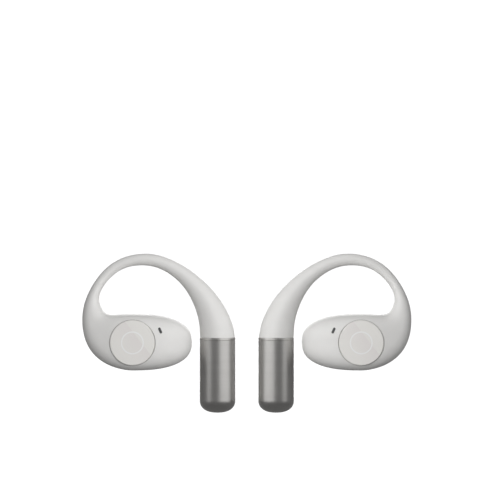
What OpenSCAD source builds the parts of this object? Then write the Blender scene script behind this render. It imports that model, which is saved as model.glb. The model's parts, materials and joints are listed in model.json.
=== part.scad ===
// A pair of open-ear earphones with ear hooks: two mirrored earpieces, hung as they are worn.
// Every piece is drawn for the left earpiece about the axis of its button: X runs from the
// button toward the battery barrel, Y toward the head and Z up. The shared origin lies halfway
// between the two earpieces, level with the underside of the hooks where they rest on the ears.

/* [Pair] */
// Distance between the two button axes
button_spacing = 71.8; // [69:0.2:90]

/* [Pod] */
// Reach of the pod from the button axis to its tip
pod_reach = 18.5; // [18:0.1:18.8]
// Roundness of the pod's tip, 2 is an ellipse
tip_power = 2.5; // [2.3:0.1:2.8]
// Thickness of the housing walls
wall = 0.9; // [0.7:0.05:1]
// Gap at the parting line between the housing and the ear cover
parting_gap = 0.1; // [0.08:0.01:0.15]

/* [Button] */
// Radius of the button disc
disc_r = 7.1; // [6.9:0.05:7.15]
// Gap between the disc and its hole
disc_gap = 0.2; // [0.15:0.05:0.35]
// Thickness of the disc
disc_thick = 1; // [0.8:0.05:1.1]
// Distance of the disc's face in front of the middle of the pod
disc_face = 7.6; // [7.4:0.05:7.8]
// Radius on the rim of the disc
disc_rim = 0.4; // [0.2:0.05:0.5]

/* [Driver] */
// Radius of the driver's frame
driver_r = 7.1; // [6.9:0.05:7.1]
// Distance of the driver's axis beyond the button axis
driver_x = 5.5; // [5:0.1:6]
// Height of the driver's axis above the button axis
driver_z = -0.2; // [-0.3:0.05:0]

/* [Hook] */
// Play in the ball socket that stands for the springy stretch of the hook
socket_play = 0.13; // [0.1:0.01:0.2]
// Radius of the memory wire
wire_r = 0.35; // [0.25:0.05:0.35]
// Radius of the sheathed leads
lead_r = 0.4; // [0.3:0.05:0.4]

/* [Barrel] */
// Radius of the metal battery barrel
barrel_r = 5.7; // [5.65:0.05:5.8]
// Length of the barrel from its seam to its bottom
barrel_len = 23.9; // [22:0.1:26]
// Height of the rounded bottom
barrel_dome = 4.2; // [3.8:0.1:5.2]
// Squareness of the rounded bottom, 2 is an ellipse
dome_power = 2.4; // [2.3:0.1:3]
// Thickness of the barrel's metal
barrel_wall = 0.45; // [0.4:0.05:0.6]
// Radius of the battery cell
cell_r = 4.8; // [4.5:0.05:4.85]

/* [Hidden] */
$fn = 48;
PIECES = [
    "outer_housing", "ear_cover", "hook_sleeve_front", "hook_sleeve_rear", "button_disc",
    "button_seal", "button_frame", "switch_body", "switch_plunger", "main_board",
    "board_chips", "antenna_strip", "mic_capsule", "mic_mesh", "driver_frame",
    "driver_yoke", "driver_magnet", "pole_plate", "voice_coil", "diaphragm",
    "driver_surround", "outlet_grille", "charge_pins", "case_magnet", "memory_wire",
    "hook_leads", "barrel_plug", "barrel_oring", "battery_barrel", "battery_cell"
];

// Controls of the shell, from the middle of the pod, round the hook, to the barrel's seam:
// [inner x, inner z, outer x, outer z, parting y, depth in front, depth behind, squareness]
SHELL = [
    [3, 8.85, 3, -8.8, 1.2, 9.2, 6.2, 3.55],
    [0, 8.85, 0, -9.05, 1, 9, 5.6, 3.6],
    [-3, 8.85, -3, -8.8, 0.8, 8.6, 5.1, 3.55],
    [-5.7, 8.65, -7.2, -7.7, 0.6, 7.8, 4.8, 3.3],
    [-7.7, 8.7, -10.9, -5.6, 0.45, 6.8, 4.6, 2.95],
    [-9, 9.3, -13.9, -2.5, 0.35, 5.8, 4.4, 2.65],
    [-9.8, 10.3, -15.7, 1.6, 0.3, 4.9, 4.1, 2.4],
    [-10.5, 11.6, -16.3, 6, 0.3, 4.2, 3.7, 2.25],
    [-10.9, 13.2, -16.1, 10.2, 0.35, 3.5, 3.2, 2.1],
    [-10.7, 15.2, -15, 14.2, 0.5, 2.8, 2.7, 2],
    [-9.7, 17.4, -12.8, 18.5, 0.65, 2.1, 2.1, 2],
    [-8, 19.7, -10.2, 22, 0.8, 1.7, 1.7, 2],
    [-5.3, 22.2, -7, 25, 0.95, 1.57, 1.57, 2],
    [-1.8, 23.9, -2.6, 27.2, 1.1, 1.72, 1.72, 2],
    [2.4, 24.4, 2.6, 28.2, 1.25, 1.95, 1.95, 2],
    [6.6, 24, 7.8, 27.8, 1.45, 2.15, 2.15, 2],
    [10.6, 22.2, 12.8, 25.8, 1.7, 2.4, 2.4, 2],
    [13.9, 19.7, 17.2, 23.4, 2, 2.8, 2.8, 2],
    [16.6, 16.6, 21.1, 20.4, 2.3, 3.3, 3.3, 2],
    [18.6, 13, 24.8, 16.9, 2.6, 3.9, 3.9, 2],
    [19.9, 9.6, 28, 12.8, 2.8, 4.6, 4.6, 2],
    [20.75, 6.2, 30.6, 8, 2.95, 5.15, 5.15, 2],
    [20.95, 3.4, 31.8, 4.2, 3, 5.45, 5.45, 2],
    [21.05, 1.4, 32.15, 1.4, 3, 5.55, 5.55, 2]
];
// Places along the shell: the pod's tip is at -1 and its middle at 0
near_tip = -0.965;
pod_end = 6;
pivot_at = 11;
seam_at = 22;
// Length over which the pod's section loses one step of squareness, squared
softening = 330;
// The back of the shell is rounder than its front by this share
back_roundness = 0.5;

function control(i) =
    let (last = len(SHELL) - 1)
    i <= last ? SHELL[i] : SHELL[last] + (i - last) * (SHELL[last] - SHELL[last - 1]);

// Uniform cubic spline through the shell's controls
function spline(t) =
    let (i = floor(t) + 1, u = t - floor(t))
    (pow(1 - u, 3) * control(i - 1)
        + (3 * pow(u, 3) - 6 * u * u + 4) * control(i)
        + (-3 * pow(u, 3) + 3 * u * u + 3 * u + 1) * control(i + 1)
        + pow(u, 3) * control(i + 2)) / 6;

// A section of the shell, smaller by inset all round:
// [middle, direction from inner to outer edge, half width, parting y, front, back, squareness]
function hook_section(t, inset) =
    let (s = spline(t), inner = [s[0], s[1]], outer = [s[2], s[3]], across = outer - inner)
    [(inner + outer) / 2, across / norm(across), norm(across) / 2 - inset,
        s[4], s[5] - inset, s[6] - inset, s[7]];

function pod_section(t, inset) =
    let (
        base = spline(0),
        slope = (SHELL[0] - SHELL[2]) / 6,
        close = pow(cos(90 * t), 2 / tip_power),
        x = (pod_reach - inset) * pow(sin(-90 * t), 2 / tip_power),
        half = (base[1] - base[3]) / 2
    )
    [[x, (base[1] + base[3]) / 2], [0, -1], (half - inset) * close,
        base[4] + slope[4] * x,
        (base[5] + slope[5] * x - inset) * close,
        (base[6] + slope[6] * x - inset) * close,
        base[7] - x * x / softening];

function section(t, inset) = t < 0 ? pod_section(t, inset) : hook_section(t, inset);

// Signed power, for superellipses
function spow(v, p) = sign(v) * pow(abs(v), p);

// The point of a section at an angle: 0 is its outer edge, 90 its front, 180 its inner edge
function section_point(s, angle) =
    let (
        square = angle <= 180 ? s[6] : 2 + (s[6] - 2) * back_roundness,
        across = s[2] * spow(cos(angle), 2 / square),
        depth = (angle <= 180 ? s[4] : s[5]) * spow(sin(angle), 2 / square)
    )
    [s[0][0] + s[1][0] * across, s[3] - depth, s[0][1] + s[1][1] * across];

function steps(from, to, count) = [for (i = [0 : count]) from + (to - from) * i / count];

around = 26;
function whole_ring(t, inset, turn) =
    let (s = section(t, inset))
    [for (i = [0 : around - 1]) section_point(s, 360 * (i + turn) / around)];
function half_ring(t, from) =
    let (s = section(t, 0)) [for (i = [0 : around / 2]) section_point(s, from + 360 * i / around)];

// The middle of a section, moved by dy
function centre(t, dy) = let (s = section(t, 0)) [s[0][0], s[3] + dy, s[0][1]];

// An oval ring about the hook's middle line
function oval_ring(t, dy, half_width, half_depth, sides) =
    let (s = section(t, 0), c = centre(t, dy))
    [for (i = [0 : sides - 1])
        let (a = 360 * (i + 0.5) / sides, across = half_width * cos(a))
        [c[0] + s[1][0] * across, c[1] - half_depth * sin(a), c[2] + s[1][1] * across]];

// A closed skin over rings of points
module loft(rings) {
    n = len(rings[0]);
    m = len(rings);
    sides = [
        for (i = [0 : m - 2], j = [0 : n - 1])
        let (a = i * n + j, b = i * n + (j + 1) % n)
        each [[a, b + n, b], [a, a + n, b + n]]
    ];
    first = [for (j = [0 : n - 1]) j];
    last = [for (j = [n - 1 : -1 : 0]) (m - 1) * n + j];
    polyhedron([for (r = rings) each r], concat(sides, [first, last]));
}

pod_steps = concat(steps(near_tip, -0.1, 9), steps(0, pod_end, 12));
cavity_end = 5;
cavity_steps = concat(steps(near_tip, -0.1, 9), steps(0, cavity_end, 10));
// The channel for the wire and the leads starts inside the cavity and ends in the barrel's plug
channel_steps = steps(4.6, 21.4, 35);
wire_steps = [for (i = [1 : len(channel_steps) - 2]) channel_steps[i]];
channel_half_width = 0.62;
channel_half_depth = 1.05;

pivot = centre(pivot_at, 0);
ball_r = section(pivot_at, 0)[2];
seam_z = SHELL[len(SHELL) - 1][1];
barrel_x = (SHELL[len(SHELL) - 1][0] + SHELL[len(SHELL) - 1][2]) / 2;
barrel_y = SHELL[len(SHELL) - 1][4];
// The hook rests on the ear at the top of its inner edge
saddle_z = spline(13)[1];

module left() {
    translate([-button_spacing / 2, 0, -saddle_z]) children();
}
module right() {
    mirror([1, 0, 0]) left() children();
}

// A round bar from y = from to y = to, with its axis through x, z
module bar(x, z, from, to, r) {
    translate([x, from, z]) rotate([-90, 0, 0]) cylinder(h = to - from, r = r);
}
// A turned ring about the same kind of axis
module ring(x, z, from, to, r, bore) {
    difference() {
        bar(x, z, from, to, r);
        bar(x, z, from - 1, to + 1, bore);
    }
}
// A slot with round ends, cut along Y
module slot(x, z, from, to, length, width, tilt) {
    translate([x, from, z]) rotate([-90, 0, 0]) rotate([0, 0, tilt]) linear_extrude(to - from) {
        square([length - width, width], center = true);
        for (side = [-1, 1]) translate([side * (length - width) / 2, 0]) circle(d = width);
    }
}

module cavity() {
    loft([for (t = cavity_steps) whole_ring(t, wall, 0.5)]);
}
module channel() {
    loft([for (t = channel_steps) oval_ring(t, 0, channel_half_width, channel_half_depth, 12)]);
}

// The button's hole runs through the front of the housing
hole_front = -12;
hole_back = -4;

// Microphone slot, on a circle about the button axis
mic_angle = 24;
mic_from_axis = 9.5;
mic_x = mic_from_axis * cos(mic_angle);
mic_z = mic_from_axis * sin(mic_angle);
mic_length = 2;
mic_width = 0.85;
mic_tilt = 90 - mic_angle;
mic_slot_front = -10;
mic_slot_back = -5.5;
mesh_front = -7.1;
mesh_back = -6.95;
// Play round a piece that is pressed into a hole
press_play = 0.05;

// Sound outlet on the ear side, turned to lie along the cover
outlet_x = 8.6;
outlet_z = -0.1;
outlet_y = 7.6;
outlet_length = 8;
outlet_width = 3.4;
outlet_slant = 5;
grille_thick = 0.25;
module outlet(from, to, length, width) {
    translate([outlet_x, outlet_y, outlet_z]) rotate([0, 0, outlet_slant])
        slot(0, 0, from, to, length, width, 0);
}

// Charging contacts on the ear side: [x, z]
PINS = [[-4.4, -2.4], [-4.4, 1.6]];
pin_r = 0.9;
pin_from = 4;
pin_to = 5.75;

module outer_housing() {
    color("whitesmoke") difference() {
        translate([0, -parting_gap / 2, 0]) loft([for (t = pod_steps) half_ring(t, 0)]);
        cavity();
        channel();
        bar(0, 0, hole_front, hole_back, disc_r + disc_gap);
        slot(mic_x, mic_z, mic_slot_front, mic_slot_back, mic_length, mic_width, mic_tilt);
    }
}

module ear_cover() {
    color("whitesmoke") difference() {
        translate([0, parting_gap / 2, 0]) loft([for (t = pod_steps) half_ring(t, 180)]);
        cavity();
        channel();
        outlet(-2, 4, outlet_length, outlet_width);
        for (p = PINS) bar(p[0], p[1], pin_from - 1, pin_to + 2, pin_r + press_play);
    }
}

module hook_sleeve_front() {
    color("white") difference() {
        union() {
            loft([for (t = steps(pod_end, pivot_at, 10)) whole_ring(t, 0, 0)]);
            translate(pivot) sphere(r = ball_r - 0.05);
        }
        channel();
    }
}

// The neck of the barrel's plug stands in a blind hole in the sleeve
plug_neck_r = 4.1;
plug_neck_top = 6.2;
neck_hole_from = seam_z - 1;
neck_hole_to = plug_neck_top + 0.1;
module hook_sleeve_rear() {
    color("white") difference() {
        loft([for (t = steps(pivot_at, seam_at, 22)) whole_ring(t, 0, 0)]);
        channel();
        translate(pivot) sphere(r = ball_r + socket_play);
        translate([barrel_x, barrel_y, neck_hole_from])
            cylinder(h = neck_hole_to - neck_hole_from, r = plug_neck_r + press_play);
    }
}

// The stack behind the disc: where each piece ends toward the head
disc_back = -disc_face + disc_thick;
seal_back = -6.05;
post_end = -5.9;
plunger_end = -5.05;
board_front = -4.4;
board_back = -3.6;
post_r = 1.3;
plunger_r = 0.9;
seal_r = 6.7;
seal_bore = 5.9;
frame_r = disc_r + disc_gap - press_play;
frame_bore = 5.6;

module button_disc() {
    rim_at = disc_r - disc_rim;
    profile = concat(
        [[0, disc_back], [disc_r, disc_back]],
        [for (a = [0 : 15 : 90])
            [rim_at + disc_rim * cos(a), -disc_face + disc_rim - disc_rim * sin(a)]],
        [[0, -disc_face]]
    );
    color("gainsboro") union() {
        rotate([-90, 0, 0]) rotate_extrude() polygon(profile);
        bar(0, 0, disc_back - 0.1, post_end, post_r);
    }
}

module button_seal() {
    color("dimgray") ring(0, 0, disc_back, seal_back, seal_r, seal_bore);
}

module button_frame() {
    color("darkgray") ring(0, 0, seal_back, board_front, frame_r, frame_bore);
}

module switch_body() {
    size = 3.4;
    height = 0.85;
    well_r = 1;
    well_floor = 0.3;
    color("black") difference() {
        translate([-size / 2, board_front - height, -size / 2]) cube([size, height, size]);
        bar(0, 0, board_front - height - 1, board_front - well_floor, well_r);
    }
}

module switch_plunger() {
    color("ivory") bar(0, 0, post_end, plunger_end, plunger_r);
}

module main_board() {
    wide_r = 6.9;
    narrow_r = 5.2;
    narrow_x = 9;
    thick = board_back - board_front;
    color("seagreen") union() {
        bar(0, 0, board_front, board_back, wide_r);
        bar(narrow_x, 0, board_front, board_back, narrow_r);
        translate([0, board_front, -narrow_r]) cube([narrow_x, thick, 2 * narrow_r]);
    }
}

// Chips on the back of the board: [x, z, width, height]
CHIPS = [
    [-3.2, 1.5, 3.6, 3.6],
    [2.6, 3.2, 2.6, 2],
    [2.2, -3, 3, 2.4],
    [8.2, -2.4, 2.2, 2.6],
    [9.6, 1.4, 2.4, 1.8]
];
module board_chips() {
    thick = 0.7;
    color("black") for (c = CHIPS)
        translate([c[0] - c[2] / 2, board_back, c[1] - c[3] / 2]) cube([c[2], thick, c[3]]);
}

module antenna_strip() {
    strip_r = 7.3;
    strip_front = -3.2;
    strip_width = 2.6;
    strip_thick = 0.12;
    first_angle = -125;
    sweep_angle = 55;
    color("orange") rotate([-90, 0, 0]) rotate([0, 0, first_angle])
        rotate_extrude(angle = sweep_angle)
            translate([strip_r, strip_front]) square([strip_thick, strip_width]);
}

module mic_capsule() {
    size = [2.6, 1, 1.9];
    color("silver") translate([mic_x - size[0] / 2, board_front - size[1], mic_z - size[2] / 2])
        cube(size);
}

module mic_mesh() {
    play = 2 * press_play;
    color("dimgray")
        slot(mic_x, mic_z, mesh_front, mesh_back, mic_length - play, mic_width - play, mic_tilt);
}

// The driver's layers, from its back toward the head
yoke_back = -2.6;
magnet_back = -1.9;
pole_back = -0.35;
pole_front = 0.35;
yoke_front = 0.5;
foot_y = 1.1;
frame_back = -0.3;
frame_front = 1.5;
foot_seat_r = 6.5;
yoke_r = 5.4;
yoke_bore = 4.7;
magnet_r = 3.5;
pole_r = 3.7;
coil_r = 4.4;
coil_wall = 0.35;
coil_back = -0.5;
dome_r = 4.6;
roll_r = 0.85;
skin = 0.12;

module driver_frame() {
    color("lightgray") difference() {
        bar(driver_x, driver_z, frame_back, frame_front, driver_r);
        bar(driver_x, driver_z, frame_back - 1, frame_front + 1, yoke_r + press_play);
        bar(driver_x, driver_z, foot_y, frame_front + 1, foot_seat_r);
    }
}

module driver_yoke() {
    color("gray") difference() {
        bar(driver_x, driver_z, yoke_back, yoke_front, yoke_r);
        bar(driver_x, driver_z, magnet_back, yoke_front + 1, yoke_bore);
    }
}

module driver_magnet() {
    color("dimgray") bar(driver_x, driver_z, magnet_back, pole_back, magnet_r);
}

module pole_plate() {
    color("gray") bar(driver_x, driver_z, pole_back, pole_front, pole_r);
}

module voice_coil() {
    color("peru") ring(driver_x, driver_z, coil_back, foot_y, coil_r, coil_r - coil_wall);
}

module diaphragm() {
    rise = 0.9;
    flat_r = 4;
    outside = [for (a = [0 : 10 : 90]) [flat_r * sin(a), foot_y + skin + rise * cos(a)]];
    inside = [for (a = [90 : -10 : 0]) [(flat_r - skin) * sin(a), foot_y + rise * cos(a)]];
    color("lightsteelblue") translate([driver_x, 0, driver_z]) rotate([-90, 0, 0])
        rotate_extrude() polygon(concat(outside, [[dome_r, foot_y + skin], [dome_r, foot_y]], inside));
}

module driver_surround() {
    middle_r = 5.55;
    color("dimgray") translate([driver_x, foot_y, driver_z]) rotate([-90, 0, 0]) rotate_extrude()
        translate([middle_r, 0]) intersection() {
            difference() {
                circle(r = roll_r);
                circle(r = roll_r - skin);
            }
            translate([-1, 0]) square([2, 1]);
        }
}

module outlet_grille() {
    play = 2 * press_play;
    color("dimgray") outlet(0, grille_thick, outlet_length - play, outlet_width - play);
}

module charge_pins() {
    color("gold") for (p = PINS) bar(p[0], p[1], pin_from, pin_to, pin_r);
}

module case_magnet() {
    magnet_x = -8.2;
    magnet_z = 1.2;
    from = 2.4;
    to = 3.6;
    r = 2;
    color("silver") bar(magnet_x, magnet_z, from, to, r);
}

// The wire and the leads lie this far in front of and behind the hook's middle line
wire_offset = 0.5;
wire_sides = 8;
module memory_wire() {
    color("silver")
        loft([for (t = wire_steps) oval_ring(t, -wire_offset, wire_r, wire_r, wire_sides)]);
}

module hook_leads() {
    color("firebrick")
        loft([for (t = wire_steps) oval_ring(t, wire_offset, lead_r, lead_r, wire_sides)]);
}

// The barrel and what it holds stand on the barrel's own axis
module on_barrel() {
    translate([barrel_x, barrel_y, 0]) children();
}
barrel_bore = barrel_r - barrel_wall;
dome_z = seam_z - barrel_len + barrel_dome;
plug_bottom = seam_z - 3.4;
plug_bore = 1.9;
oring_z = seam_z - 2;
oring_r = 0.4;
oring_play = 0.03;
oring_middle = barrel_bore - oring_play - oring_r;
// The cell ends short of the plug, and reaches a little way into the rounded bottom
cell_top = plug_bottom - 0.6;
cell_bottom = dome_z - 1.5;

module barrel_plug() {
    neck_length = plug_neck_top - plug_bottom;
    color("lightgray") on_barrel() difference() {
        translate([0, 0, plug_bottom]) union() {
            cylinder(h = seam_z - plug_bottom, r = barrel_bore - press_play);
            cylinder(h = neck_length, r = plug_neck_r);
        }
        translate([0, 0, plug_bottom - 1]) cylinder(h = neck_length + 2, r = plug_bore);
        translate([0, 0, oring_z]) rotate_extrude()
            translate([oring_middle, 0]) circle(r = oring_r + oring_play);
    }
}

module barrel_oring() {
    color("dimgray") on_barrel() translate([0, 0, oring_z])
        rotate_extrude() translate([oring_middle, 0]) circle(r = oring_r);
}

// Half of a rounded bottom, from its lowest point out to its full radius
function dome_profile(r, height) =
    [for (a = [0 : 7.5 : 90])
        [r * pow(sin(a), 2 / dome_power), dome_z - height * pow(cos(a), 2 / dome_power)]];

module battery_barrel() {
    outside = dome_profile(barrel_r, barrel_dome);
    inside = dome_profile(barrel_bore, barrel_dome - barrel_wall);
    back_down = [for (i = [len(inside) - 1 : -1 : 0]) inside[i]];
    color("darkgray") on_barrel() rotate_extrude()
        polygon(concat(outside, [[barrel_r, seam_z], [barrel_bore, seam_z]], back_down));
}

module battery_cell() {
    color("steelblue") on_barrel() translate([0, 0, cell_bottom])
        cylinder(h = cell_top - cell_bottom, r = cell_r);
}

left() outer_housing();  // left_outer_housing
left() ear_cover();  // left_ear_cover
left() hook_sleeve_front();  // left_hook_sleeve_front
left() hook_sleeve_rear();  // left_hook_sleeve_rear
left() button_disc();  // left_button_disc
left() button_seal();  // left_button_seal
left() button_frame();  // left_button_frame
left() switch_body();  // left_switch_body
left() switch_plunger();  // left_switch_plunger
left() main_board();  // left_main_board
left() board_chips();  // left_board_chips
left() antenna_strip();  // left_antenna_strip
left() mic_capsule();  // left_mic_capsule
left() mic_mesh();  // left_mic_mesh
left() driver_frame();  // left_driver_frame
left() driver_yoke();  // left_driver_yoke
left() driver_magnet();  // left_driver_magnet
left() pole_plate();  // left_pole_plate
left() voice_coil();  // left_voice_coil
left() diaphragm();  // left_diaphragm
left() driver_surround();  // left_driver_surround
left() outlet_grille();  // left_outlet_grille
left() charge_pins();  // left_charge_pins
left() case_magnet();  // left_case_magnet
left() memory_wire();  // left_memory_wire
left() hook_leads();  // left_hook_leads
left() barrel_plug();  // left_barrel_plug
left() barrel_oring();  // left_barrel_oring
left() battery_barrel();  // left_battery_barrel
left() battery_cell();  // left_battery_cell
right() outer_housing();  // right_outer_housing
right() ear_cover();  // right_ear_cover
right() hook_sleeve_front();  // right_hook_sleeve_front
right() hook_sleeve_rear();  // right_hook_sleeve_rear
right() button_disc();  // right_button_disc
right() button_seal();  // right_button_seal
right() button_frame();  // right_button_frame
right() switch_body();  // right_switch_body
right() switch_plunger();  // right_switch_plunger
right() main_board();  // right_main_board
right() board_chips();  // right_board_chips
right() antenna_strip();  // right_antenna_strip
right() mic_capsule();  // right_mic_capsule
right() mic_mesh();  // right_mic_mesh
right() driver_frame();  // right_driver_frame
right() driver_yoke();  // right_driver_yoke
right() driver_magnet();  // right_driver_magnet
right() pole_plate();  // right_pole_plate
right() voice_coil();  // right_voice_coil
right() diaphragm();  // right_diaphragm
right() driver_surround();  // right_driver_surround
right() outlet_grille();  // right_outlet_grille
right() charge_pins();  // right_charge_pins
right() case_magnet();  // right_case_magnet
right() memory_wire();  // right_memory_wire
right() hook_leads();  // right_hook_leads
right() barrel_plug();  // right_barrel_plug
right() barrel_oring();  // right_barrel_oring
right() battery_barrel();  // right_battery_barrel
right() battery_cell();  // right_battery_cell
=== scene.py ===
import json
import math

import bmesh
import bpy
import numpy as np
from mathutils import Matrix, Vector
from mathutils.bvhtree import BVHTree


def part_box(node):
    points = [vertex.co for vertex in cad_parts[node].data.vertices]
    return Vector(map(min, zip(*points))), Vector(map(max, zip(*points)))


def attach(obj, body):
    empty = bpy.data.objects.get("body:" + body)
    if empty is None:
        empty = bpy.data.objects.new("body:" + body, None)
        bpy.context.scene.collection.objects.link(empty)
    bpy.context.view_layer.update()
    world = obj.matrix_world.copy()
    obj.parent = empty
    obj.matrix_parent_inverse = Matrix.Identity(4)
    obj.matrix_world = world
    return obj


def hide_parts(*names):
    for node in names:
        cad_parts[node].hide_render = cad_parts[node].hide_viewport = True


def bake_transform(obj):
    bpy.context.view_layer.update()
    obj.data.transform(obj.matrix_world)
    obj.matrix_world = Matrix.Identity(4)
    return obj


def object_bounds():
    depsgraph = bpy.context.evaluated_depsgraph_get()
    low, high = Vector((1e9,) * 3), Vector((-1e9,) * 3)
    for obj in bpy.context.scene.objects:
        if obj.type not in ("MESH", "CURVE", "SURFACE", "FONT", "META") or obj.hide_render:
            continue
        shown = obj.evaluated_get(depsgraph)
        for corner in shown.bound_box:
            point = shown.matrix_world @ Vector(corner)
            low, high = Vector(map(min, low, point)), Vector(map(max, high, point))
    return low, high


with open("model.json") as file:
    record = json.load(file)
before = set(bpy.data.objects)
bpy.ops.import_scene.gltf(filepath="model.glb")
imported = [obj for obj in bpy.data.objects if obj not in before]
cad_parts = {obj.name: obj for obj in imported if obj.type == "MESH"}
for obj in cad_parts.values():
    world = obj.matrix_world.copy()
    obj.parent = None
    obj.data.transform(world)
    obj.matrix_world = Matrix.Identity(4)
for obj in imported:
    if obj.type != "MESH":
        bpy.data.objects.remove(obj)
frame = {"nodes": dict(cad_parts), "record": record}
cad_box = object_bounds()

MM = 0.001
EARS = ("left", "right")

# ---------------------------------------------------------------- the shell's shape
# The same controls as the CAD shell, in millimetres about the button axis:
# inner x, inner z, outer x, outer z, parting y, depth in front, depth behind, squareness
SHELL = np.array([
    [3, 8.85, 3, -8.8, 1.2, 9.2, 6.2, 3.55],
    [0, 8.85, 0, -9.05, 1, 9, 5.6, 3.6],
    [-3, 8.85, -3, -8.8, 0.8, 8.6, 5.1, 3.55],
    [-5.7, 8.65, -7.2, -7.7, 0.6, 7.8, 4.8, 3.3],
    [-7.7, 8.7, -10.9, -5.6, 0.45, 6.8, 4.6, 2.95],
    [-9, 9.3, -13.9, -2.5, 0.35, 5.8, 4.4, 2.65],
    [-9.8, 10.3, -15.7, 1.6, 0.3, 4.9, 4.1, 2.4],
    [-10.5, 11.6, -16.3, 6, 0.3, 4.2, 3.7, 2.25],
    [-10.9, 13.2, -16.1, 10.2, 0.35, 3.5, 3.2, 2.1],
    [-10.7, 15.2, -15, 14.2, 0.5, 2.8, 2.7, 2],
    [-9.7, 17.4, -12.8, 18.5, 0.65, 2.1, 2.1, 2],
    [-8, 19.7, -10.2, 22, 0.8, 1.7, 1.7, 2],
    [-5.3, 22.2, -7, 25, 0.95, 1.57, 1.57, 2],
    [-1.8, 23.9, -2.6, 27.2, 1.1, 1.72, 1.72, 2],
    [2.4, 24.4, 2.6, 28.2, 1.25, 1.95, 1.95, 2],
    [6.6, 24, 7.8, 27.8, 1.45, 2.15, 2.15, 2],
    [10.6, 22.2, 12.8, 25.8, 1.7, 2.4, 2.4, 2],
    [13.9, 19.7, 17.2, 23.4, 2, 2.8, 2.8, 2],
    [16.6, 16.6, 21.1, 20.4, 2.3, 3.3, 3.3, 2],
    [18.6, 13, 24.8, 16.9, 2.6, 3.9, 3.9, 2],
    [19.9, 9.6, 28, 12.8, 2.8, 4.6, 4.6, 2],
    [20.75, 6.2, 30.6, 8, 2.95, 5.15, 5.15, 2],
    [20.95, 3.4, 31.8, 4.2, 3, 5.45, 5.45, 2],
    [21.05, 1.4, 32.15, 1.4, 3, 5.55, 5.55, 2],
])
POD_REACH = 18.5
TIP_POWER = 2.5
SOFTENING = 330
BACK_ROUNDNESS = 0.5
WALL = 0.9
PARTING_GAP = 0.1
# Nearer the tip than this, the inner sheet of the pod also steps back from the tip by a wall
TIP_WALL_FROM = -0.2
# Places along the shell: tip -1, pod's middle 0, seam with the barrel 22
POD_END = 6
SKIN_SPLIT = 8.5
SEAM_AT = 22


def control(i):
    last = len(SHELL) - 1
    if i <= last:
        return SHELL[i]
    return SHELL[last] + (i - last) * (SHELL[last] - SHELL[last - 1])


def spline(t):
    i = int(math.floor(t)) + 1
    u = t - math.floor(t)
    return ((1 - u) ** 3 * control(i - 1) + (3 * u**3 - 6 * u * u + 4) * control(i)
            + (-3 * u**3 + 3 * u * u + 3 * u + 1) * control(i + 1) + u**3 * control(i + 2)) / 6


def section(t):
    """(middle, direction from inner to outer edge, half width, parting y, front, back, squareness)"""
    if t >= 0:
        s = spline(t)
        across = s[2:4] - s[0:2]
        width = np.linalg.norm(across)
        return (s[0:2] + s[2:4]) / 2, across / width, width / 2, s[4], s[5], s[6], s[7]
    base = spline(0)
    slope = (SHELL[0] - SHELL[2]) / 6
    turn = math.radians(-90 * t)
    close = max(math.cos(turn), 0) ** (2 / TIP_POWER)
    x = POD_REACH * math.sin(turn) ** (2 / TIP_POWER)
    half = (base[1] - base[3]) / 2
    return (np.array([x, (base[1] + base[3]) / 2]), np.array([0.0, -1.0]), half * close,
            base[4] + slope[4] * x, (base[5] + slope[5] * x) * close,
            (base[6] + slope[6] * x) * close, base[7] - x * x / SOFTENING)


def signed_power(value, power):
    return math.copysign(abs(value) ** power, value)


def shell_point(t, angle):
    """Angle in degrees: 0 is the outer edge, 90 the front, 180 the inner edge, 270 the back."""
    middle, way, half, parting, front, back, square = section(t)
    power = square if angle <= 180 else 2 + (square - 2) * BACK_ROUNDNESS
    c, s = math.cos(math.radians(angle)), math.sin(math.radians(angle))
    across = half * signed_power(c, 2 / power)
    depth = (front if angle <= 180 else back) * signed_power(s, 2 / power)
    return np.array([middle[0] + way[0] * across, parting - depth, middle[1] + way[1] * across])


# ---------------------------------------------------------------- places, from the frame
# The button's disc: its front face and back face along the button axis, its radius and its rounded rim
DISC_FACE, DISC_BACK, DISC_R, DISC_RIM = -7.6, -6.6, 7.16, 0.4


def place_of(ear):
    """(local origin on the button axis, +1 or -1 for the way from the button to the barrel)."""
    low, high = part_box(ear + "_button_disc")
    origin = Vector(((low.x + high.x) / 2, low.y - DISC_FACE * MM, (low.z + high.z) / 2))
    return origin, 1 if ear == "left" else -1


PLACE = {ear: place_of(ear) for ear in EARS}


def to_frame(ear, p):
    """Local millimetres about an earpiece's button axis, in the frame's metres."""
    origin, way = PLACE[ear]
    return (origin.x + way * p[0] * MM, origin.y + p[1] * MM, origin.z + p[2] * MM)


# ---------------------------------------------------------------- mesh helpers
def new_piece(name, ear, points, faces):
    """A mesh from local millimetres. The right earpiece is mirrored, so its faces turn round."""
    if PLACE[ear][1] < 0:
        faces = [tuple(reversed(f)) for f in faces]
    mesh = bpy.data.meshes.new(name)
    mesh.from_pydata([to_frame(ear, p) for p in points], [], faces)
    mesh.update()
    obj = bpy.data.objects.new(name, mesh)
    bpy.context.scene.collection.objects.link(obj)
    return obj


def shade_smooth(obj, angle=None):
    obj.data.polygons.foreach_set("use_smooth", [True] * len(obj.data.polygons))
    if angle is not None:
        obj.data.set_sharp_from_angle(angle=math.radians(angle))


def grid_faces(rows, columns, closed):
    """Quads over a grid, wound to face outward on the shell."""
    faces = []
    for i in range(rows - 1):
        for j in range(columns if closed else columns - 1):
            k = (j + 1) % columns
            faces.append((i * columns + j, i * columns + k, (i + 1) * columns + k, (i + 1) * columns + j))
    return faces


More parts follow.
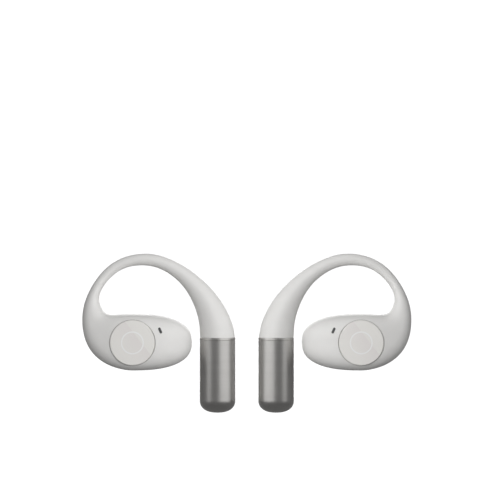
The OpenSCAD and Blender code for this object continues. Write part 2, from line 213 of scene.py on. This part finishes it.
def face_outward(obj, weld=False):
    """Turns every face outward, and with weld first joins the points that coincide."""
    bm = bmesh.new()
    bm.from_mesh(obj.data)
    if weld:
        bmesh.ops.remove_doubles(bm, verts=bm.verts, dist=1e-7)
        bmesh.ops.dissolve_degenerate(bm, edges=bm.edges, dist=1e-8)
    bmesh.ops.recalc_face_normals(bm, faces=bm.faces)
    bm.to_mesh(obj.data)
    bm.free()


def lathe(name, ear, centre, axis, profile, turns=128, angle=35):
    """Turns (radius, height) points round an axis, "y" or "z". Radius 0 closes an end."""
    points, faces, rings = [], [], []
    for radius, height in profile:
        if radius < 1e-9:
            rings.append([len(points)])
            points.append((0, 0, height))
        else:
            rings.append(list(range(len(points), len(points) + turns)))
            for k in range(turns):
                a = 2 * math.pi * k / turns
                points.append((radius * math.cos(a), radius * math.sin(a), height))
    for a, b in zip(rings, rings[1:]):
        for k in range(turns):
            quad = [a[k % len(a)], a[(k + 1) % len(a)], b[(k + 1) % len(b)], b[k % len(b)]]
            faces.append(tuple(dict.fromkeys(quad)))
    if axis == "y":
        points = [(x, z, -y) for x, y, z in points]
    points = [tuple(np.array(p) + np.array(centre)) for p in points]
    obj = new_piece(name, ear, points, faces)
    face_outward(obj)
    shade_smooth(obj, angle)
    return obj


def arc(centre_r, centre_h, radius, start, end, count):
    """Points of (radius, height) on an arc, for a rounded rim."""
    return [(centre_r + radius * math.cos(math.radians(a)), centre_h + radius * math.sin(math.radians(a)))
            for a in np.linspace(start, end, count)]


def slot_outline(length, width, count=12):
    half = (length - width) / 2
    right = [(half + width / 2 * math.cos(a), width / 2 * math.sin(a))
             for a in np.linspace(-math.pi / 2, math.pi / 2, count)]
    left = [(-x, -z) for x, z in right]
    return right + left


def prism(name, ear, outline, place, from_y, to_y):
    """A straight bar with that (x, z) outline; place moves its points where they belong."""
    n = len(outline)
    points = [place(x, from_y, z) for x, z in outline] + [place(x, to_y, z) for x, z in outline]
    faces = [tuple(range(n)), tuple(reversed(range(n, 2 * n)))]
    faces += [(i, i + n, (i + 1) % n + n, (i + 1) % n) for i in range(n)]
    return new_piece(name, ear, points, faces)


def apply_modifiers(obj):
    bpy.context.view_layer.update()
    made = bpy.data.meshes.new_from_object(obj.evaluated_get(bpy.context.evaluated_depsgraph_get()))
    obj.modifiers.clear()
    obj.data = made


def cut(obj, tool):
    """Takes tool out of obj."""
    face_outward(obj)
    face_outward(tool)
    made = obj.modifiers.new("cut", "BOOLEAN")
    made.operation = "DIFFERENCE"
    made.solver = "EXACT"
    made.object = tool
    apply_modifiers(obj)
    bpy.data.objects.remove(tool)


def skin_normals(obj, ear, surface):
    """Faces that lie on the smooth surface take its normals, so that cuts leave no marks in the shading."""
    rows, columns, points, normals = surface
    at = np.array([to_frame(ear, p) for p in points])
    way = np.array([PLACE[ear][1], 1, 1])
    towards = normals * way
    faces = grid_faces(rows, columns, False)
    tree = BVHTree.FromPolygons([Vector(p) for p in at], faces)
    loops = [None] * len(obj.data.loops)
    for poly in obj.data.polygons:
        for li in poly.loop_indices:
            v = obj.data.vertices[obj.data.loops[li].vertex_index].co
            found = tree.find_nearest(v, 0.03 * MM)
            n = poly.normal
            if found[0] is not None:
                quad = faces[found[2]]
                weights = [1 / (1e-9 + np.linalg.norm(at[q] - np.array(v))) for q in quad]
                smooth = Vector(sum(w * towards[q] for w, q in zip(weights, quad))).normalized()
                if smooth.dot(poly.normal) > 0.8:
                    n = smooth
            loops[li] = n
    shade_smooth(obj)
    obj.data.normals_split_custom_set(loops)


def surface_of(places, angles):
    """(rows, columns, points, outward normals) of the shell over these places and angles."""
    points = [shell_point(t, a) for t in places for a in angles]
    rows, columns = len(places), len(angles)
    grid = np.array(points).reshape(rows, columns, 3)
    along = np.gradient(grid, axis=0)
    round_it = np.gradient(grid, axis=1)
    normals = np.cross(along, round_it).reshape(-1, 3)
    normals /= np.linalg.norm(normals, axis=1)[:, None] + 1e-12
    middle = np.repeat([[section(t)[0][0], section(t)[3], section(t)[0][1]] for t in places], columns, axis=0)
    outward = np.einsum("ij,ij->i", normals, np.array(points) - middle)
    normals[outward < 0] *= -1
    return rows, columns, points, normals


# ---------------------------------------------------------------- materials
def new_material(name):
    material = bpy.data.materials.new(name)
    material.use_nodes = True
    return material, material.node_tree, material.node_tree.nodes["Principled BSDF"]


def add(tree, kind, **values):
    node = tree.nodes.new(kind)
    for key, value in values.items():
        setattr(node, key, value)
    return node


def noise(tree, scale, detail=3, stretch=(1, 1, 1)):
    """Noise over the object's own place, so that it stays with the piece."""
    place = add(tree, "ShaderNodeTexCoord")
    mapping = add(tree, "ShaderNodeMapping")
    mapping.inputs["Scale"].default_value = stretch
    texture = add(tree, "ShaderNodeTexNoise")
    texture.inputs["Scale"].default_value = scale
    texture.inputs["Detail"].default_value = detail
    tree.links.new(place.outputs["Object"], mapping.inputs["Vector"])
    tree.links.new(mapping.outputs["Vector"], texture.inputs["Vector"])
    return texture.outputs["Fac"]


# Nearly all of a noise texture's values lie between these
NOISE_LOW, NOISE_HIGH = 0.3, 0.7


def spread(tree, fac, low, high):
    """Maps noise to a range of roughness."""
    span = add(tree, "ShaderNodeMapRange")
    span.inputs["From Min"].default_value = NOISE_LOW
    span.inputs["From Max"].default_value = NOISE_HIGH
    span.inputs["To Min"].default_value = low
    span.inputs["To Max"].default_value = high
    tree.links.new(fac, span.inputs["Value"])
    return span.outputs["Result"]


def tint(tree, fac, dark, light):
    """Maps noise to a small change of colour."""
    ramp = add(tree, "ShaderNodeValToRGB")
    ramp.color_ramp.elements[0].position = NOISE_LOW
    ramp.color_ramp.elements[1].position = NOISE_HIGH
    ramp.color_ramp.elements[0].color = (*dark, 1)
    ramp.color_ramp.elements[1].color = (*light, 1)
    tree.links.new(fac, ramp.inputs["Fac"])
    return ramp.outputs["Color"]


def grain(tree, shader, fac, depth):
    """A faint relief from noise."""
    bump = add(tree, "ShaderNodeBump")
    bump.inputs["Strength"].default_value = 0.35
    bump.inputs["Distance"].default_value = depth
    tree.links.new(fac, bump.inputs["Height"])
    tree.links.new(bump.outputs["Normal"], shader.inputs["Normal"])


def scaled(colour, share):
    return tuple(min(1, c * share) for c in colour)


def finish(name, colour, rough, metal=0, change=0.04, scale=900, depth=0.00001, stretch=(1, 1, 1)):
    """A moulded, cast or drawn surface: small changes of tone and gloss, and a fine grain."""
    material, tree, shader = new_material(name)
    slow = noise(tree, scale * 0.12, 2, stretch)
    fine = noise(tree, scale, 4, stretch)
    shade = tint(tree, slow, scaled(colour, 1 - change), scaled(colour, 1 + change))
    tree.links.new(shade, shader.inputs["Base Color"])
    tree.links.new(spread(tree, fine, rough * 0.9, rough * 1.1), shader.inputs["Roughness"])
    shader.inputs["Metallic"].default_value = metal
    grain(tree, shader, fine, depth)
    return material


def from_axis(tree, centre):
    """(x, z, radius) of a point about the button axis, as sockets."""
    place = add(tree, "ShaderNodeTexCoord")
    minus = add(tree, "ShaderNodeVectorMath", operation="SUBTRACT")
    minus.inputs[1].default_value = centre
    tree.links.new(place.outputs["Object"], minus.inputs[0])
    apart = add(tree, "ShaderNodeSeparateXYZ")
    tree.links.new(minus.outputs["Vector"], apart.inputs[0])
    flat = add(tree, "ShaderNodeCombineXYZ")
    tree.links.new(apart.outputs["X"], flat.inputs["X"])
    tree.links.new(apart.outputs["Z"], flat.inputs["Y"])
    length = add(tree, "ShaderNodeVectorMath", operation="LENGTH")
    tree.links.new(flat.outputs["Vector"], length.inputs[0])
    return apart.outputs["X"], apart.outputs["Z"], length.outputs["Value"]


def maths(tree, operation, a, b=None, clamp=False):
    """A Math node on sockets or plain numbers."""
    node = add(tree, "ShaderNodeMath", operation=operation, use_clamp=clamp)
    for k, value in enumerate((a, b)):
        if value is None:
            continue
        if isinstance(value, (int, float)):
            node.inputs[k].default_value = value
        else:
            tree.links.new(value, node.inputs[k])
    return node.outputs[0]


def add_clamped(tree, a, b):
    return maths(tree, "ADD", a, b, clamp=True)


# Painted sheen on the disc, a lighter tone beyond a straight edge in place of its reflections: the way across
# that edge in x and z, and the edge's distance from the axis
PAINTED_SHEEN_WAY, PAINTED_SHEEN_AT = (0.79, 0.61), 2.2 * MM
PAINTED_SHEEN_EDGE, PAINTED_SHEEN_FADE = 0.25 * MM, 7 * MM
# The plain ring on the disc
RING_R, RING_HALF_WIDTH = 3.4 * MM, 0.2 * MM


def pearl(name, ear):
    """The button: pearl plastic with painted sheen, a lighter part beyond a straight edge and streaks of tone
    round the axis, and a plain white ring; the streaks also vary its gloss and relief.
    """
    material, tree, shader = new_material(name)
    x, z, radius = from_axis(tree, tuple(PLACE[ear][0]))
    # distance beyond the painted sheen's edge, which runs from the upper left to the lower right; beyond it the
    # colour is painted lighter, as a highlight
    across = maths(tree, "ADD", maths(tree, "MULTIPLY", x, PAINTED_SHEEN_WAY[0]),
                   maths(tree, "MULTIPLY", z, PAINTED_SHEEN_WAY[1]))
    beyond = maths(tree, "SUBTRACT", across, PAINTED_SHEEN_AT)
    edge = add_clamped(tree, maths(tree, "MULTIPLY", beyond, 1 / PAINTED_SHEEN_EDGE), 0.5)
    fade = add_clamped(tree, maths(tree, "MULTIPLY", beyond, -1 / PAINTED_SHEEN_FADE), 0.1)
    # noise round the axis: painted streaks of sheen in the colour, and changes of gloss and fine relief
    fine = add(tree, "ShaderNodeTexNoise")
    fine.noise_dimensions = "1D"
    fine.inputs["Scale"].default_value = 45
    fine.inputs["Detail"].default_value = 3
    tree.links.new(maths(tree, "ARCTAN2", z, x), fine.inputs["W"])
    # painted sheen: streaks of lighter and darker tone round the axis, as a radial brushed reflection gives
    painted_sheen_streaks = maths(tree, "MULTIPLY", maths(tree, "SUBTRACT", fine.outputs["Fac"], 0.5), 0.25)
    tone = add_clamped(tree, maths(tree, "MAXIMUM", edge, fade), painted_sheen_streaks)
    # painted sheen: a darker pinkish tone and a lighter yellowish tone stand in for the disc's reflections
    painted_sheen_mix = add(tree, "ShaderNodeMix", data_type="RGBA")
    painted_sheen_mix.inputs["A"].default_value = (0.86, 0.826, 0.81, 1)
    painted_sheen_mix.inputs["B"].default_value = (0.90, 0.885, 0.852, 1)
    tree.links.new(tone, painted_sheen_mix.inputs["Factor"])
    off = maths(tree, "ABSOLUTE", maths(tree, "SUBTRACT", radius, RING_R))
    paint = add(tree, "ShaderNodeMix", data_type="RGBA")
    tree.links.new(maths(tree, "LESS_THAN", off, RING_HALF_WIDTH), paint.inputs["Factor"])
    tree.links.new(painted_sheen_mix.outputs["Result"], paint.inputs["A"])
    paint.inputs["B"].default_value = (0.97, 0.97, 0.96, 1)
    tree.links.new(paint.outputs["Result"], shader.inputs["Base Color"])
    tree.links.new(spread(tree, fine.outputs["Fac"], 0.36, 0.48), shader.inputs["Roughness"])
    grain(tree, shader, fine.outputs["Fac"], 0.000004)
    return material


def soft_touch(name, colour, rough):
    """Satin soft-touch white: even tone, fine grain and a little sheen."""
    material = finish(name, colour, rough, change=0.012, scale=2600, depth=0.000006)
    shader = material.node_tree.nodes["Principled BSDF"]
    shader.inputs["Sheen Weight"].default_value = 0.08
    shader.inputs["Sheen Roughness"].default_value = 0.5
    shader.inputs["Specular IOR Level"].default_value = 0.42
    return material


def satin_metal(name):
    """The barrel: fine satin metal, with turned marks that run round it."""
    material = finish(name, (0.56, 0.55, 0.535), 0.34, metal=1, change=0.03, scale=500,
                      depth=0.000004, stretch=(0.25, 0.25, 9))
    shader = material.node_tree.nodes["Principled BSDF"]
    shader.inputs["Anisotropic"].default_value = 0.35
    return material


MATERIALS = {
    "shell_white": soft_touch("shell_white", (0.87, 0.862, 0.845), 0.46),
    "sleeve_white": soft_touch("sleeve_white", (0.87, 0.862, 0.845), 0.48),
    "barrel_metal": satin_metal("barrel_metal"),
    "mesh_dark": finish("mesh_dark", (0.10, 0.10, 0.102), 0.4, metal=0.6),
    "seal_grey": finish("seal_grey", (0.22, 0.22, 0.215), 0.7),
    "frame_grey": finish("frame_grey", (0.50, 0.495, 0.48), 0.55),
    "black_plastic": finish("black_plastic", (0.02, 0.02, 0.02), 0.5),
    "ivory_plastic": finish("ivory_plastic", (0.72, 0.68, 0.58), 0.5),
    "board_green": finish("board_green", (0.02, 0.16, 0.08), 0.35, change=0.12),
    "copper": finish("copper", (0.80, 0.40, 0.22), 0.3, metal=1),
    "steel": finish("steel", (0.55, 0.55, 0.56), 0.3, metal=1, stretch=(6, 1, 1)),
    "magnet_nickel": finish("magnet_nickel", (0.66, 0.63, 0.58), 0.18, metal=1),
    "diaphragm_film": finish("diaphragm_film", (0.36, 0.42, 0.52), 0.3, change=0.1),
    "gold": finish("gold", (0.93, 0.66, 0.26), 0.2, metal=1),
    "lead_sheath": finish("lead_sheath", (0.28, 0.04, 0.04), 0.5),
    "cell_wrap": finish("cell_wrap", (0.12, 0.24, 0.42), 0.32, change=0.08),
}
for one_ear in EARS:
    MATERIALS[one_ear + "_pearl"] = pearl(one_ear + "_pearl", one_ear)


def dress(obj, material, slot_name, body, *replaced):
    """Gives a piece its material, its body and the CAD nodes that it stands for; slot_name is not used."""
    obj.data.materials.clear()
    obj.data.materials.append(MATERIALS[material])
    if replaced:
        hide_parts(*replaced)
    if body:
        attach(obj, body)
    return obj


# ---------------------------------------------------------------- the white skins
AROUND = 120
POD_PLACES = np.concatenate([-np.sin(np.linspace(math.pi / 2, 0, 46)[:-1]), np.arange(0, POD_END + 1e-6, 0.08)])
LIMB_PLACES = np.linspace(POD_END, SKIN_SPLIT, 34)
HOOK_PLACES = np.linspace(SKIN_SPLIT, SEAM_AT, 190)
BUTTON_HOLE_R = DISC_R + 0.09
MIC_FROM_AXIS, MIC_LEAN = 9.5, math.radians(24)
MIC_AT = (MIC_FROM_AXIS * math.cos(MIC_LEAN), MIC_FROM_AXIS * math.sin(MIC_LEAN))
MIC_LENGTH, MIC_WIDTH = 2.0, 0.85
OUTLET_AT, OUTLET_SLANT = (8.6, 7.6, -0.1), math.radians(5)
OUTLET_LENGTH, OUTLET_WIDTH = 8.0, 3.4
PINS, PIN_HOLE_R = ((-4.4, 1.6), (-4.4, -2.4)), 0.97
# The barrel's wall, the rounding of its upper edge, its groove, and its rounded bottom's height and squareness
BARREL_WALL, BARREL_LIP = 0.45, 0.12
GROOVE_DOWN, GROOVE = 0.8, 0.09
DOME, DOME_POWER = 4.2, 2.4
# Where the wire and the leads begin and end along the shell
CORE_START, CORE_END = 5.1, 20.9


def mic_place(x, y, z):
    """A slot point, leaning along the circle round the button."""
    c, s = math.cos(MIC_LEAN), math.sin(MIC_LEAN)
    return (MIC_AT[0] - s * x + c * z, y, MIC_AT[1] + c * x + s * z)


def outlet_place(x, y, z):
    c, s = math.cos(OUTLET_SLANT), math.sin(OUTLET_SLANT)
    return (OUTLET_AT[0] + c * x - s * y, OUTLET_AT[1] + s * x + c * y, OUTLET_AT[2] + z)


def half_shell(name, ear, angles, shift):
    """One half of the pod as a closed shell: an outer sheet, an inner sheet and the rims between them."""
    outer = [shell_point(t, a) + (0, shift, 0) for t in POD_PLACES for a in angles]
    middle = [np.array([section(t)[0][0], section(t)[3], section(t)[0][1]]) for t in POD_PLACES]
    inner = []
    for i, t in enumerate(POD_PLACES):
        half = max(section(t)[2], 0.01)
        share = max(0.0, 1 - WALL / half)
        for j in range(len(angles)):
            p = outer[i * len(angles) + j]
            back_off = -WALL if t < TIP_WALL_FROM else 0
            inner.append(middle[i] + (p - middle[i]) * share + (back_off, shift * (1 - share), 0))
    rows, columns = len(POD_PLACES), len(angles)
    n = rows * columns
    sheet = grid_faces(rows, columns, False)
    faces = sheet + [tuple(n + v for v in reversed(f)) for f in sheet]
    border = (list(range(columns)) + [i * columns + columns - 1 for i in range(1, rows)]
              + [(rows - 1) * columns + j for j in range(columns - 2, -1, -1)]
              + [i * columns for i in range(rows - 2, 0, -1)])
    faces += [(a, b, n + b, n + a) for a, b in zip(border, border[1:] + border[:1])]
    obj = new_piece(name, ear, outer + inner, faces)
    face_outward(obj, weld=True)
    return obj


def tube_skin(name, ear, places):
    """A closed length of the hook, with a flat end at each side."""
    angles = np.arange(AROUND) * 360 / AROUND
    points = [shell_point(t, a) for t in places for a in angles]
    rows = len(places)
    faces = grid_faces(rows, AROUND, True)
    faces.append(tuple(range(AROUND - 1, -1, -1)))
    faces.append(tuple((rows - 1) * AROUND + j for j in range(AROUND)))
    obj = new_piece(name, ear, points, faces)
    face_outward(obj)
    # the smooth surface reaches past both ends, so that the shading runs on across the joins
    step = places[1] - places[0]
    wide = np.concatenate([[places[0] - step], places, [min(places[-1] + step, SEAM_AT)]])
    skin_normals(obj, ear, surface_of(wide, np.append(angles, 360)))
    return obj


def housing(ear):
    """The pod's front half, with the button's hole and the microphone's slot."""
    angles = np.linspace(0, 180, AROUND // 2 + 1)
    obj = half_shell(ear + "_pod_front", ear, angles, -PARTING_GAP / 2)
    hole = [(0, -4), (BUTTON_HOLE_R, -4), (BUTTON_HOLE_R, 4), (0, 4)]
    cut(obj, lathe("tool", ear, (0, -8, 0), "y", hole, 160))
    cut(obj, prism("tool", ear, slot_outline(MIC_LENGTH, MIC_WIDTH), mic_place, -10, -5.5))
    wide = np.concatenate([POD_PLACES, [POD_END + 0.08]])
    skin_normals(obj, ear, surface_of(wide, angles))
    dress(obj, "shell_white", "shell_white", ear + "_pod", ear + "_outer_housing")


def cover(ear):
    """The pod's half on the head side, with the sound outlet and the charging contacts' holes."""
    angles = np.linspace(180, 360, AROUND // 2 + 1)
    obj = half_shell(ear + "_pod_back", ear, angles, PARTING_GAP / 2)
    cut(obj, prism("tool", ear, slot_outline(OUTLET_LENGTH, OUTLET_WIDTH), outlet_place, -3, 4))
    for x, z in PINS:
        cut(obj, lathe("tool", ear, (x, 6, z), "y", [(0, -3), (PIN_HOLE_R, -3), (PIN_HOLE_R, 3), (0, 3)], 64))
    wide = np.concatenate([POD_PLACES, [POD_END + 0.08]])
    skin_normals(obj, ear, surface_of(wide, angles))
    dress(obj, "shell_white", "shell_white", ear + "_pod", ear + "_ear_cover")


def bend(obj):
    """Bakes the piece's transform into its mesh."""
    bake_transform(obj)


def hook(ear):
    """The hook's sleeve: a short limb that belongs to the pod, and the arch."""
    limb = tube_skin(ear + "_hook_limb", ear, LIMB_PLACES)
    dress(limb, "sleeve_white", "sleeve_white", ear + "_pod", ear + "_hook_sleeve_front")
    arch = tube_skin(ear + "_hook_arch", ear, HOOK_PLACES)
    dress(arch, "sleeve_white", "sleeve_white", None, ear + "_hook_sleeve_rear")
    bend(arch)


def core(ear, piece, node, material, dy, r):
    """The wire or the leads inside the hook."""
    places, sides, points = np.linspace(CORE_START, CORE_END, 160), 12, []
    for t in places:
        middle, way, _, parting = section(t)[:4]
        for a in (np.arange(sides) + 0.5) * 2 * math.pi / sides:
            across = r * math.cos(a)
            points.append((middle[0] + way[0] * across, parting + dy - r * math.sin(a),
                           middle[1] + way[1] * across))
    rows = len(places)
    faces = grid_faces(rows, sides, True)
    faces += [tuple(range(sides - 1, -1, -1)), tuple((rows - 1) * sides + j for j in range(sides))]
    obj = new_piece(ear + "_" + piece, ear, points, faces)
    shade_smooth(obj, 50)
    dress(obj, material, material, None, ear + "_" + node)
    bend(obj)


def button(ear):
    """The press button's disc, with a rounded rim in front."""
    rim = arc(DISC_R - DISC_RIM, DISC_FACE + DISC_RIM, DISC_RIM, 0, -90, 10)
    profile = [(0, DISC_BACK), (DISC_R, DISC_BACK)] + rim + [(0, DISC_FACE)]
    obj = lathe(ear + "_button", ear, (0, 0, 0), "y", profile, 192)
    dress(obj, ear + "_pearl", "button_pearl", ear + "_button", ear + "_button_disc")


def barrel(ear):
    """The battery barrel: a metal cup with a rounded bottom and a fine groove below its upper edge."""
    low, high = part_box(ear + "_battery_barrel")
    origin = PLACE[ear][0]
    centre = (abs((low.x + high.x) / 2 - origin.x) / MM, ((low.y + high.y) / 2 - origin.y) / MM, 0)
    top, bottom = (high.z - origin.z) / MM, (low.z - origin.z) / MM
    r, dome_z, groove_z = (high.x - low.x) / 2 / MM, bottom + DOME, top - GROOVE_DOWN

    def dome(radius, height, count):
        """Half of the rounded bottom, from its lowest point out to its full radius."""
        power = 2 / DOME_POWER
        return [(radius * math.sin(a) ** power, dome_z - height * max(math.cos(a), 0) ** power)
                for a in np.linspace(0, math.pi / 2, count)]

    outside = dome(r, DOME, 40)
    outside += [(r, groove_z - GROOVE), (r - GROOVE, groove_z), (r, groove_z + GROOVE)]
    outside += arc(r - BARREL_LIP, top - BARREL_LIP, BARREL_LIP, 0, 90, 6)
    inside = [(r - BARREL_WALL, top)] + dome(r - BARREL_WALL, DOME - BARREL_WALL, 20)[::-1]
    obj = lathe(ear + "_barrel", ear, centre, "z", outside + inside, 160)
    dress(obj, "barrel_metal", "barrel_metal", ear + "_tail", ear + "_battery_barrel")


def grille(ear):
    """Woven wire, trimmed to an oval, in the sound outlet."""
    length, width, wire, pitch = OUTLET_LENGTH - 0.1, OUTLET_WIDTH - 0.1, 0.07, 0.32
    points, faces = [], []

    def rod(start, end, wave, phase):
        """A thin six-sided wire that weaves over and under."""
        first, sides, count = len(points), 6, 40
        start, end = np.array(start), np.array(end)
        way = (end - start) / np.linalg.norm(end - start)
        beside = np.array([-way[2], 0, way[0]])
        for k in range(count + 1):
            p = start + (end - start) * k / count
            along = p @ way
            lift = wave * math.sin(math.pi * along / pitch + phase)
            for s in range(sides):
                a = 2 * math.pi * s / sides
                q = p + beside * wire * math.cos(a) + np.array([0, lift + wire * math.sin(a), 0])
                points.append(outlet_place(*q))
        for k in range(count):
            for s in range(sides):
                a, b = first + k * sides + s, first + k * sides + (s + 1) % sides
                faces.append((a, b, b + sides, a + sides))
        faces.append(tuple(first + s for s in range(sides - 1, -1, -1)))
        faces.append(tuple(first + count * sides + s for s in range(sides)))

    half, end_r = (length - width) / 2, width / 2
    for i, x in enumerate(np.arange(-length / 2 + pitch, length / 2 - pitch / 2, pitch)):
        beyond = max(abs(x) - half, 0)
        z = math.sqrt(max(end_r**2 - beyond**2, 0)) - 0.03
        if z > 0.2:
            rod((x, 0.14, -z), (x, 0.14, z), 0.07, i * math.pi)
    for i, z in enumerate(np.arange(-end_r + pitch, end_r - pitch / 2, pitch)):
        x = half + math.sqrt(max(end_r**2 - z**2, 0)) - 0.03
        rod((-x, 0.14, z), (x, 0.14, z), -0.07, i * math.pi)
    weave = new_piece(ear + "_grille", ear, points, faces)
    shade_smooth(weave, 50)
    dress(weave, "mesh_dark", "mesh_dark", ear + "_pod", ear + "_outlet_grille")


for one_ear in EARS:
    housing(one_ear)
    cover(one_ear)
    hook(one_ear)
    core(one_ear, "wire", "memory_wire", "steel", -0.5, 0.35)
    core(one_ear, "leads", "hook_leads", "lead_sheath", 0.5, 0.4)
    button(one_ear)
    barrel(one_ear)
    grille(one_ear)

# the CAD nodes that keep their shape get the finish of their slot
for part in frame["record"]["subparts"]:
    node = frame["nodes"][part["node"]]
    if not node.hide_render:
        node.data.materials.clear()
        node.data.materials.append(MATERIALS[part["material_slot"]])

# ---------------------------------------------------------------- stage, light and camera
LOW, HIGH = (Vector(corner) for corner in cad_box)
MIDDLE = (LOW + HIGH) / 2


def only_for(obj, group_name, members):
    """Light linking: what obj gives off falls on these pieces only."""
    group = bpy.data.collections.new(group_name)
    for member in members:
        group.objects.link(member)
    obj.light_linking.receiver_collection = group


def sweep():
    """A pale floor that curves up into a backdrop. Its glow stays off the object."""
    half, radius = 4, 0.6
    floor_z, back_y = LOW.z - 0.06, HIGH.y + 3
    outline = [(-half, floor_z), (back_y - radius, floor_z)]
    outline += [(back_y - radius + radius * math.sin(a), floor_z + radius - radius * math.cos(a))
                for a in np.linspace(0, math.pi / 2, 20)[1:]]
    outline += [(back_y, floor_z + half)]
    mesh = bpy.data.meshes.new("sweep")
    n = len(outline)
    points = [(x, y, z) for x in (-half, half) for y, z in outline]
    mesh.from_pydata(points, [], [(i, i + n, i + n + 1, i + 1) for i in range(n - 1)])
    obj = bpy.data.objects.new("sweep", mesh)
    bpy.context.scene.collection.objects.link(obj)
    shade_smooth(obj)
    material, tree, shader = new_material("pale_sweep")
    shader.inputs["Base Color"].default_value = (0.25, 0.25, 0.25, 1)
    shader.inputs["Roughness"].default_value = 0.9
    shader.inputs["Emission Color"].default_value = (1, 1, 1, 1)
    shader.inputs["Emission Strength"].default_value = 0.95
    mesh.materials.append(material)
    only_for(obj, "sweep_only", [obj])


def soft_light(name, aim, azimuth, elevation, distance, size, power):
    """A softbox: azimuth 0 is the viewer's side, and 90 is +X."""
    a, e = math.radians(azimuth), math.radians(elevation)
    away = Vector((math.sin(a) * math.cos(e), -math.cos(a) * math.cos(e), math.sin(e)))
    lamp = bpy.data.lights.new(name, "AREA")
    lamp.shape = "RECTANGLE"
    lamp.size, lamp.size_y = size
    lamp.energy = power
    obj = bpy.data.objects.new(name, lamp)
    bpy.context.scene.collection.objects.link(obj)
    obj.location = aim + away * distance
    obj.rotation_euler = (-away).to_track_quat("-Z", "Y").to_euler()
    obj.visible_camera = False
    return obj


# Each earpiece's own softboxes: azimuth toward the mirror plane, elevation, (width, height) and watts
EAR_LIGHTS = {
    "key": (57, 0, (0.95, 0.8), 2.35),
    "fill": (-55, 5, (0.26, 0.45), 0.22),
    "front": (22, 0, (0.4, 0.4), 1.12),
}
EAR_LIGHT_DISTANCE = 0.5


def light_ear(ear):
    """Lights one earpiece by itself, from both sides and from the front, which leaves out the barrel."""
    way = PLACE[ear][1]
    aim = Vector((-way * (HIGH.x - LOW.x) / 4, MIDDLE.y, MIDDLE.z))
    own = [obj for obj in bpy.context.scene.objects if obj.type == "MESH" and obj.name.startswith(ear + "_")]
    for name, (azimuth, elevation, size, power) in EAR_LIGHTS.items():
        lamp = soft_light(ear + "_" + name, aim, way * azimuth, elevation, EAR_LIGHT_DISTANCE, size, power)
        lit = [obj for obj in own if name != "front" or "barrel" not in obj.name]
        only_for(lamp, ear + "_" + name + "_lights", lit)


sweep()
for one_ear in EARS:
    light_ear(one_ear)
soft_light("top", MIDDLE, 0, 30, 0.6, (0.5, 0.3), 0.25)
soft_light("back", MIDDLE, 180, 12, 0.6, (0.5, 0.4), 2.0)
world = bpy.data.worlds.new("pale")
bpy.context.scene.world = world
world.use_nodes = True
background = world.node_tree.nodes["Background"]
background.inputs["Color"].default_value = (1, 1, 1, 1)
background.inputs["Strength"].default_value = 0.27

# the pair stands low in the frame, seen level from the front through a long lens
VIEW_WIDTH, DISTANCE = 0.1583, 0.9
CAMERA_SIDE, CAMERA_RISE = 0.001, 0.0264
camera = bpy.data.cameras.new("camera")
camera.sensor_width = 36
camera.lens = camera.sensor_width * DISTANCE / VIEW_WIDTH
camera.clip_start = 0.05
viewer = bpy.data.objects.new("camera", camera)
bpy.context.scene.collection.objects.link(viewer)
viewer.location = (CAMERA_SIDE, MIDDLE.y - DISTANCE, MIDDLE.z + CAMERA_RISE)
viewer.rotation_euler = (math.pi / 2, 0, 0)
bpy.context.scene.camera = viewer
bpy.context.scene.view_settings.view_transform = "Standard"
